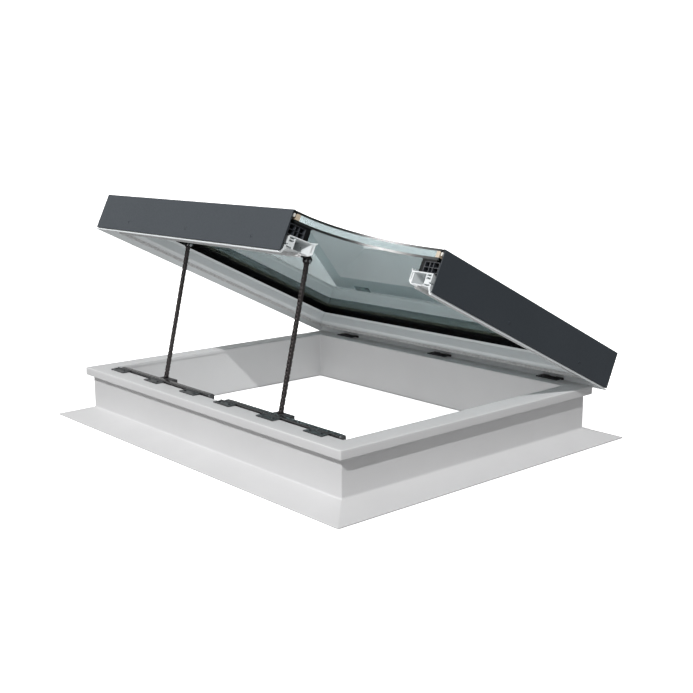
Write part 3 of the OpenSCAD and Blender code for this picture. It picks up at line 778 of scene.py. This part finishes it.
def make_ring(profile, name, material, slot, node):
    """One profile carried all round the sash, from one face of the cut-away to the other."""
    step = bpy.context.scene.skylight_sizes.cut_step
    bm = bmesh.new()
    sweep(bm, [split_long(rounded(outline), step) for outline in profile], ALL_ROUND)
    hang(new_piece(name, bm, [material], OPENED), SASH, slot, node)


class SKYLIGHT_OT_frame_rails(SkylightOperator):
    """Make the four lengths of white window profile"""

    bl_idname = "skylight.frame_rails"
    bl_label = "Sash frame"

    def execute(self, context):
        gap = self.sizes.mitre_gap
        make_lengths(
            FRAME_PROFILE, "frame_profile", gap, finishes()["plastic"], "frame_white", "sash_rail"
        )
        return {"FINISHED"}


class SKYLIGHT_OT_inserts(SkylightOperator):
    """Make the four lengths of dark multi-cell insert"""

    bl_idname = "skylight.inserts"
    bl_label = "Inserts"

    def execute(self, context):
        gap = self.sizes.mitre_gap
        make_lengths(
            INSERT_PROFILE, "cell_insert", gap, finishes()["insert"], "insert_dark", "insert"
        )
        return {"FINISHED"}


class SKYLIGHT_OT_cladding(SkylightOperator):
    """Make the four lengths of folded cladding"""

    bl_idname = "skylight.cladding"
    bl_label = "Cladding"

    def execute(self, context):
        gap = self.sizes.mitre_gap
        make_lengths(
            CLADDING_PROFILE,
            "cladding_sheet",
            gap,
            finishes()["cladding"],
            "cladding_grey",
            "cladding",
        )
        return {"FINISHED"}


class SKYLIGHT_OT_panes(SkylightOperator):
    """Make the two panes, with chamfered edges that follow the cut-away"""

    bl_idname = "skylight.panes"
    bl_label = "Panes"

    def execute(self, context):
        for node in ("outer_pane", "inner_pane"):
            low, high = shut_box(node)
            depth = low.x - SASH_LOW.x
            start = math.asin(depth / CUT_ALONG)
            end = math.acos(depth / CUT_ACROSS)
            steps = 72
            plan = [(low.x, low.y), (low.x, high.y), (high.x, high.y)]
            for step in range(steps + 1):
                angle = end + (start - end) * step / steps
                x = SASH_HIGH.x - CUT_ACROSS * math.cos(angle)
                y = SASH_LOW.y + CUT_ALONG * math.sin(angle)
                plan.append((x, y))
            bm = bmesh.new()
            rings = [[bm.verts.new((x, y, z)) for x, y in plan] for z in (low.z, high.z)]
            for ring in rings:
                bm.faces.new(ring)
            for i in range(len(plan)):
                bm.faces.new((rings[0][i - 1], rings[0][i], rings[1][i], rings[1][i - 1]))
            rim = [e for e in bm.edges if abs(e.verts[0].co.z - e.verts[1].co.z) < MM / 10]
            bmesh.ops.bevel(
                bm, geom=rim, offset=self.sizes.edge_chamfer, segments=1, affect="EDGES"
            )
            bm.normal_update()
            for face in bm.faces:
                face.material_index = int(abs(face.normal.z) < 0.9)
            materials = [finishes()["glass"], finishes()["glass_edge"]]
            piece = new_piece(node + "_glass", bm, materials, OPENED, 20)
            hang(piece, SASH, "pane_glass", node)
        return {"FINISHED"}


class SKYLIGHT_OT_spacer(SkylightOperator):
    """Make the spacer bar between the panes"""

    bl_idname = "skylight.spacer"
    bl_label = "Spacer"

    def execute(self, context):
        make_ring(
            SPACER_PROFILE, "spacer_bar", finishes()["spacer"], "spacer_beige", "edge_spacer"
        )
        return {"FINISHED"}


class SKYLIGHT_OT_gasket(SkylightOperator):
    """Make the glazing gasket with the ribs of its inner face"""

    bl_idname = "skylight.gasket"
    bl_label = "Glazing gasket"

    def execute(self, context):
        sizes = self.sizes
        material = finishes()["gasket"]
        tree, identifiers = rib_tree()
        depth, low, high = 61 * MM, 50 * MM, 70 * MM
        lean, corner_room = math.radians(30), 6 * MM
        rib_long = (high - low) / math.cos(lean)
        bm = bmesh.new()
        sweep(bm, [split_long(rounded(o), sizes.cut_step) for o in GASKET_PROFILE], ALL_ROUND)
        ends = [station(depth, (low + high) / 2) for station in ALL_ROUND]
        for a, b in zip(ends, ends[1:]):
            inset = (b - a).normalized() * corner_room
            path = bpy.data.meshes.new("rib_path")
            path.from_pydata([a + inset, b - inset], [(0, 1)], [])
            base = bpy.data.objects.new("rib_path", path)
            bpy.context.scene.collection.objects.link(base)
            values = {
                "Pitch": sizes.rib_pitch,
                "Size": (sizes.rib_width, 2 * sizes.rib_rise, rib_long),
                "Lean": lean,
                "Material": material,
            }
            ribs = made_by(tree, identifiers, base, "ribs", values)
            bm.from_mesh(ribs.data)
            bpy.data.objects.remove(ribs)
        piece = new_piece("glazing_gasket_rubber", bm, [material], OPENED)
        hang(piece, SASH, "gasket_black", "glazing_gasket")
        return {"FINISHED"}


class SKYLIGHT_OT_seals(SkylightOperator):
    """Make the weather seal, the backing cord and the rim seal"""

    bl_idname = "skylight.seals"
    bl_label = "Seals"

    def execute(self, context):
        make_ring(
            WEATHER_PROFILE,
            "weather_seal_bead",
            finishes()["sealant"],
            "sealant_black",
            "weather_seal",
        )
        make_ring(
            RIM_SEAL_PROFILE, "rim_seal_tube", finishes()["rim_seal"], "seal_grey", "rim_seal"
        )
        step = self.sizes.cut_step
        outlines = [split_long(rounded(outline), step) for outline in CORD_PROFILE]
        bm = bmesh.new()
        for low, high in solids_of("backing_cord", SHUT):
            across = high.x - low.x > high.y - low.y
            if across:
                back = low.y > HINGE_LINE.y / 2
                ends = (self.end_x(low.x, back), self.end_x(high.x, back))
                if not back:
                    ends = (front_cut, ends[0])
            else:
                right = low.x > 0
                ends = (self.end_y(low.y, right), self.end_y(high.y, right))
                if right:
                    ends = (ends[1], right_cut)
            sweep(bm, outlines, ends)
        piece = new_piece("backing_cord_foam", bm, [finishes()["cord"]], OPENED)
        hang(piece, SASH, "cord_white", "backing_cord")
        return {"FINISHED"}

    def end_x(self, x, back):
        """A square end at x on the drive side or the hinge side."""
        return lambda d, h: Vector(
            (x, SASH_HIGH.y - d if back else SASH_LOW.y + d, SASH_LOW.z + h)
        )

    def end_y(self, y, right):
        """A square end at y on the left-hand or the right-hand side."""
        return lambda d, h: Vector(
            (SASH_HIGH.x - d if right else SASH_LOW.x + d, y, SASH_LOW.z + h)
        )


class SKYLIGHT_OT_hinges(SkylightOperator):
    """Make the three hinges, each with two leaves and a pin"""

    bl_idname = "skylight.hinges"
    bl_label = "Hinges"

    def execute(self, context):
        edge = self.sizes.plate_edge
        for place in ("left", "middle", "right"):
            hinge = f"hinge_{place}"
            softened(f"{hinge}_rim_leaf", UPSTAND, "hinge_black", edge, finishes()["hinge"])
            softened(f"{hinge}_sash_leaf", SASH, "hinge_black", edge, finishes()["hinge"])
            softened(f"{hinge}_pin", UPSTAND, "fixing_steel", edge / 2, finishes()["fixing"])
        return {"FINISHED"}


class SKYLIGHT_OT_drives(SkylightOperator):
    """Make the two chain drives with their caps, outlets, motors and brackets"""

    bl_idname = "skylight.drives"
    bl_label = "Chain drives"

    def execute(self, context):
        edge = self.sizes.plate_edge
        for side in ("left", "right"):
            drive = f"drive_{side}"
            self.housing(f"{drive}_housing")
            for cap in ("outer_cap", "inner_cap"):
                softened(
                    f"{drive}_{cap}",
                    UPSTAND,
                    "drive_cap_grey",
                    self.sizes.cap_edge,
                    finishes()["cap"],
                )
            softened(f"{drive}_outlet", UPSTAND, "drive_outlet_dark", edge, finishes()["outlet"])
            softened(f"{drive}_gear_motor", UPSTAND, "motor_steel", edge, finishes()["motor"])
            for letter in "abc":
                softened(
                    f"{drive}_bracket_{letter}",
                    UPSTAND,
                    "bracket_dark",
                    edge,
                    finishes()["bracket"],
                )
        return {"FINISHED"}

    def housing(self, node):
        """An extruded housing with a rounded top, fine grooves along it and a hollow inside."""
        low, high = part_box(node)
        wide, tall = (high.y - low.y) / MM, (high.z - low.z) / MM
        wall, groove = 2, 0.5
        lower, upper = 0.3 * tall, 0.72 * tall
        outline = [(0, 0, 3), (wide, 0, 3)]
        for height in (lower, upper):
            outline += [
                (wide, height - groove, 0.1), (wide - groove, height, 0.1),
                (wide, height + groove, 0.1),
            ]
        outline += [(wide, tall, 6), (0, tall, 6)]
        for height in (upper, lower):
            outline += [(0, height + groove, 0.1), (groove, height, 0.1), (0, height - groove, 0.1)]
        outlines = [rounded(outline, 6), rounded(oblong(wall, wall, wide - wall, tall - wall, 4))]
        stations = [
            lambda y, z, x=x: Vector((x, low.y + y, low.z + z)) for x in (low.x, high.x)
        ]
        bm = bmesh.new()
        sweep(bm, outlines, stations)
        piece = new_piece(node + "_extrusion", bm, [finishes()["housing"]])
        hang(piece, UPSTAND, "drive_housing_dark", node)


class SKYLIGHT_OT_chains(SkylightOperator):
    """Make the two chains, link by link"""

    bl_idname = "skylight.chains"
    bl_label = "Chains"

    def execute(self, context):
        tree, identifiers = chain_tree()
        for side in ("left", "right"):
            joint = f"chain_{side}_swing"
            start = Vector(JOINTS[joint]["pos_m"])
            end = sum(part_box(f"chain_{side}_end_pin"), Vector()) / 2
            run = end - start
            count = round(run.length / self.sizes.link_pitch)
            pitch = run.length / count
            lean = Matrix.Translation(start) @ Matrix.Rotation(-math.atan2(run.y, run.z), 4, "X")
            inner, outer = self.link("inner_link", pitch, 0), self.link("outer_link", pitch, 1)
            base = bpy.data.objects.new("chain_base", bpy.data.meshes.new("chain_base"))
            bpy.context.scene.collection.objects.link(base)
            values = {
                "Pitch": (0, 0, pitch),
                "Count": count,
                "Inner link": inner,
                "Outer link": outer,
                "Material": finishes()["chain"],
            }
            piece = made_by(tree, identifiers, base, f"chain_{side}_links", values, lean)
            bpy.data.objects.remove(inner)
            bpy.data.objects.remove(outer)
            hang(piece, f"chain_{side}_link", "chain_steel", f"chain_{side}")
            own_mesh(piece)
        return {"FINISHED"}

    def link(self, name, pitch, outer):
        """An inner link with its roller, or an outer link with its two pins."""
        sizes = self.sizes
        plate, end = sizes.link_plate, sizes.link_end
        steps, first_angle, sweep_angle = 7, 15, 150
        pin_radius, pin_reach, play = 1.7 * MM, 0.3 * MM, 0.1 * MM
        inside = sizes.link_inside + outer * (plate + play)
        outline = []
        for centre, start in ((pitch, first_angle), (0, first_angle + 180)):
            for step in range(steps + 1):
                angle = math.radians(start + sweep_angle * step / steps)
                outline.append(
                    Vector((end * math.cos(angle), centre + end * math.sin(angle)))
                )
            waist = 0.8 * end * (-1 if centre else 1)
            outline.append(Vector((waist, pitch / 2)))
        bm = bmesh.new()
        for side in (-1, 1):
            sweep(bm, [outline], (along_x(side * inside), along_x(side * (inside + plate))))
        if outer:
            reach = inside + plate + pin_reach
            for z in (0, pitch):
                add_rod(bm, pin_radius, -reach, reach, (0, z), 10)
        else:
            for z in (0, pitch):
                add_rod(bm, sizes.roller, -inside, inside, (0, z), 14)
        return new_piece(name, bm, [finishes()["chain"]])


class SKYLIGHT_OT_end_brackets(SkylightOperator):
    """Make the chains' end brackets on the sash, and their pins"""

    bl_idname = "skylight.end_brackets"
    bl_label = "Chain end brackets"

    def execute(self, context):
        edge = self.sizes.plate_edge
        for side in ("left", "right"):
            chain = f"chain_{side}"
            softened(f"{chain}_end_bracket", SASH, "hinge_black", edge, finishes()["hinge"])
            softened(f"{chain}_end_pin", SASH, "fixing_steel", edge / 2, finishes()["fixing"])
        return {"FINISHED"}


class SKYLIGHT_OT_screws(SkylightOperator):
    """Make every group of screws, each with a star recess"""

    bl_idname = "skylight.screws"
    bl_label = "Screws"

    # Each group: its node, body, slot, finish, head radius, and how its heads are turned
    groups = (
        ("hinge_rim_screws", UPSTAND, "fixing_steel", "dark_fixing", "up"),
        ("bracket_screws", UPSTAND, "fixing_steel", "dark_fixing", "up"),
        ("hinge_sash_screws", SASH, "fixing_steel", "dark_fixing", "down"),
        ("end_bracket_screws", SASH, "fixing_steel", "fixing", "in"),
        ("cladding_screws", SASH, "cladding_grey", "cladding", "out"),
    )

    def execute(self, context):
        tree, identifiers = screw_tree()
        for node, body, slot, finish, way in self.groups:
            turn = OPENED if body == SASH else IN_PLACE
            places, rotations = [], []
            for low, high in solids_of(node, turn.inverted()):
                place, rotation, head, size = self.head_of(low, high, way)
                places.append(place)
                rotations.append(rotation)
            mesh = bpy.data.meshes.new(node + "_places")
            mesh.from_pydata(places, [], [])
            attribute = mesh.attributes.new("turn", "FLOAT_VECTOR", "POINT")
            for i, rotation in enumerate(rotations):
                attribute.data[i].vector = rotation
            base = bpy.data.objects.new(node + "_places", mesh)
            bpy.context.scene.collection.objects.link(base)
            screw = self.screw(head, size, finishes()[finish])
            values = {"Screw": screw, "Material": finishes()[finish]}
            piece = made_by(tree, identifiers, base, node + "_turned", values, turn)
            bpy.data.objects.remove(screw)
            hang(piece, body, slot, node)
        return {"FINISHED"}

    def head_of(self, low, high, way):
        """Where a screw's head stands, how it is turned, its (radius, rise) and its length."""
        middle = (low + high) / 2
        round_rise, flat_rise, dome_rise = 2 * MM, 1 * MM, 1.6 * MM
        if way == "up":
            head = (high.x - low.x) / 2, round_rise
            return Vector((middle.x, middle.y, high.z)), (0, 0, 0), head, high.z - low.z
        if way == "down":
            head = (high.x - low.x) / 2, flat_rise
            place = Vector((middle.x, middle.y, low.z))
            return place, (math.pi, 0, 0), head, high.z - low.z
        if way == "in":
            head = (high.x - low.x) / 2, round_rise
            place = Vector((middle.x, high.y, middle.z))
            return place, (-math.pi / 2, 0, 0), head, high.y - low.y
        head = (high.z - low.z) / 2, dome_rise
        if low.y < SASH_LOW.y:
            return Vector((middle.x, low.y, middle.z)), (math.pi / 2, 0, 0), head, high.y - low.y
        if high.y > SASH_HIGH.y:
            return Vector((middle.x, high.y, middle.z)), (-math.pi / 2, 0, 0), head, high.y - low.y
        if low.x < SASH_LOW.x:
            return Vector((low.x, middle.y, middle.z)), (0, -math.pi / 2, 0), head, high.x - low.x
        return Vector((high.x, middle.y, middle.z)), (0, math.pi / 2, 0), head, high.x - low.x

    def screw(self, head, size, material):
        """A screw whose head's top is at z = 0: a low round head over a plain shank."""
        sides = 24
        radius, rise = head
        shank = 2 * MM
        recess = 0.6 * rise

        def star(angle):
            return radius * (0.4 + 0.07 * math.cos(6 * angle))

        def dome(share):
            return rise * (1 - share**2) ** 0.6 - rise

        rings = [(star, dome(0.4) - recess), (star, dome(0.4))]
        rings += [(radius * share, dome(share)) for share in (0.62, 0.8, 0.92, 0.98)]
        rings += [(radius, -rise * 0.97), (radius, -rise), (shank, -rise), (shank, -size)]
        bm = bmesh.new()
        made = []
        for reach, z in rings:
            ring = []
            for i in range(sides):
                angle = math.tau * i / sides
                r = reach(angle) if callable(reach) else reach
                ring.append(bm.verts.new((r * math.cos(angle), r * math.sin(angle), z)))
            made.append(ring)
        for a, b in zip(made, made[1:]):
            for i in range(sides):
                bm.faces.new((a[i - 1], a[i], b[i], b[i - 1]))
        bm.faces.new(made[0])
        bm.faces.new(made[-1])
        return new_piece("screw", bm, [material])


class SKYLIGHT_OT_stage(SkylightOperator):
    """Make the floor, the backdrop, the lights and the camera"""

    bl_idname = "skylight.stage"
    bl_label = "Stage"

    def execute(self, context):
        scene = bpy.context.scene
        scene.view_settings.view_transform = "Standard"
        self.world(scene)
        self.floor()
        self.lights()
        data = bpy.data.cameras.new("camera")
        data.sensor_width = 36
        data.lens = 54.888
        camera = bpy.data.objects.new("camera", data)
        camera.location = (2.3373, -2.0092, 0.8534)
        camera.rotation_euler = (math.radians(78.812), 0, math.radians(48.354))
        scene.collection.objects.link(camera)
        scene.camera = camera
        return {"FINISHED"}

    def world(self, scene):
        """Soft light all round, as bright from below as from above."""
        above, below, horizon = 0.36, 0.36, 0.15
        world = bpy.data.worlds.new("studio")
        world.use_nodes = True
        scene.world = world
        nodes, links = world.node_tree.nodes, world.node_tree.links
        background = nodes["Background"]
        place = nodes.new("ShaderNodeTexCoord")
        parts = nodes.new("ShaderNodeSeparateXYZ")
        ramp = nodes.new("ShaderNodeMapRange")
        ramp.inputs["From Min"].default_value = -horizon
        ramp.inputs["From Max"].default_value = horizon
        ramp.inputs["To Min"].default_value = below
        ramp.inputs["To Max"].default_value = above
        links.new(place.outputs["Generated"], parts.inputs["Vector"])
        links.new(parts.outputs["Z"], ramp.inputs["Value"])
        links.new(ramp.outputs["Result"], background.inputs["Color"])

    def floor(self):
        """A plain pale floor and a white backdrop, which don't light the object themselves."""
        floor_width, floor_drop, backdrop_radius = 60, 0.0005, 40
        floor, backdrop = bmesh.new(), bmesh.new()
        bmesh.ops.create_grid(floor, x_segments=1, y_segments=1, size=floor_width / 2)
        bmesh.ops.translate(floor, verts=floor.verts, vec=(0, 0, -floor_drop))
        bmesh.ops.create_icosphere(backdrop, subdivisions=4, radius=backdrop_radius)
        for name, bm in (("studio_floor", floor), ("studio_backdrop", backdrop)):
            material = bpy.data.materials.new(name)
            material.use_nodes = True
            shader = material.node_tree.nodes["Principled BSDF"]
            shader.inputs["Base Color"].default_value = (0.9, 0.9, 0.9, 1)
            shader.inputs["Roughness"].default_value = 0.9
            shader.inputs["Emission Color"].default_value = (1, 1, 1, 1)
            shader.inputs["Emission Strength"].default_value = 1
            piece = new_piece(name, bm, [material])
            piece.visible_diffuse = False
            piece.visible_glossy = False
            piece.visible_shadow = False

    def lights(self):
        """A key light from the drive side, daylight from below, and panels seen only as gloss."""
        daylight = 0.55
        toward = Vector((0.47, -1, 1.05)).normalized()
        sun = bpy.data.lights.new("key", "SUN")
        sun.energy = 2.5
        sun.angle = math.radians(0.8)
        key = bpy.data.objects.new("key", sun)
        key.visible_glossy = False
        key.rotation_euler = toward.to_track_quat("Z", "Y").to_euler()
        bpy.context.scene.collection.objects.link(key)
        low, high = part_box("upstand")
        room = (high - low) - 2 * Vector((FLANGE_REACH + RIM_WIDTH, FLANGE_REACH + RIM_WIDTH, 0))
        panel = bpy.data.lights.new("light_from_the_room", "AREA")
        panel.shape = "RECTANGLE"
        panel.size, panel.size_y = room.x, room.y
        panel.energy = daylight * math.pi * room.x * room.y
        below = bpy.data.objects.new("light_from_the_room", panel)
        below.location = (0, 0, 2 * MM)
        below.rotation_euler = (math.pi, 0, 0)
        below.visible_camera = False
        bpy.context.scene.collection.objects.link(below)
        # Each gloss panel: its name, direction, distance, width and radiance
        for name, way, away, size, radiance in (
            ("gloss_left", (-0.74, -0.49, 0.46), 6, 6, 0.9),
            ("gloss_ahead", (-0.03, -0.8, 0.6), 4, 1.2, 45),
            ("gloss_behind", (-0.76, 0.6, 0.27), 6, 3.5, 0.4),
        ):
            panel = bpy.data.lights.new(name, "AREA")
            panel.size = size
            panel.energy = radiance * math.pi * size * size
            lamp = bpy.data.objects.new(name, panel)
            lamp.location = Vector(way) * away
            lamp.rotation_euler = Vector(way).to_track_quat("Z", "Y").to_euler()
            lamp.visible_camera = False
            lamp.visible_diffuse = False
            lamp.visible_transmission = False
            bpy.context.scene.collection.objects.link(lamp)


OPERATORS = (
    SKYLIGHT_OT_upstand,
    SKYLIGHT_OT_frame_rails,
    SKYLIGHT_OT_inserts,
    SKYLIGHT_OT_cladding,
    SKYLIGHT_OT_panes,
    SKYLIGHT_OT_spacer,
    SKYLIGHT_OT_gasket,
    SKYLIGHT_OT_seals,
    SKYLIGHT_OT_hinges,
    SKYLIGHT_OT_drives,
    SKYLIGHT_OT_chains,
    SKYLIGHT_OT_end_brackets,
    SKYLIGHT_OT_screws,
    SKYLIGHT_OT_stage,
)


class SKYLIGHT_PT_pieces(bpy.types.Panel):
    """Lists the skylight's pieces and their settings"""

    bl_idname = "SKYLIGHT_PT_pieces"
    bl_label = "Roof skylight"
    bl_space_type = "VIEW_3D"
    bl_region_type = "UI"
    bl_category = "Skylight"

    def draw(self, context):
        column = self.layout.column(align=True)
        for operator in OPERATORS:
            column.operator(operator.bl_idname)
        for settings in (context.scene.skylight_sizes, context.scene.skylight_colours):
            box = self.layout.box()
            for name in settings.__annotations__:
                box.prop(settings, name)


CLASSES = (SkylightSizes, SkylightColours, *OPERATORS, SKYLIGHT_PT_pieces)


def register():
    for cls in CLASSES:
        bpy.utils.register_class(cls)
    bpy.types.Scene.skylight_sizes = bpy.props.PointerProperty(type=SkylightSizes)
    bpy.types.Scene.skylight_colours = bpy.props.PointerProperty(type=SkylightColours)


def unregister():
    del bpy.types.Scene.skylight_colours
    del bpy.types.Scene.skylight_sizes
    for cls in reversed(CLASSES):
        bpy.utils.unregister_class(cls)


def main():
    """Makes everything in order."""
    register()
    for operator in OPERATORS:
        group, name = operator.bl_idname.split(".")
        getattr(getattr(bpy.ops, group), name)()


if __name__ == "__main__":
    main()
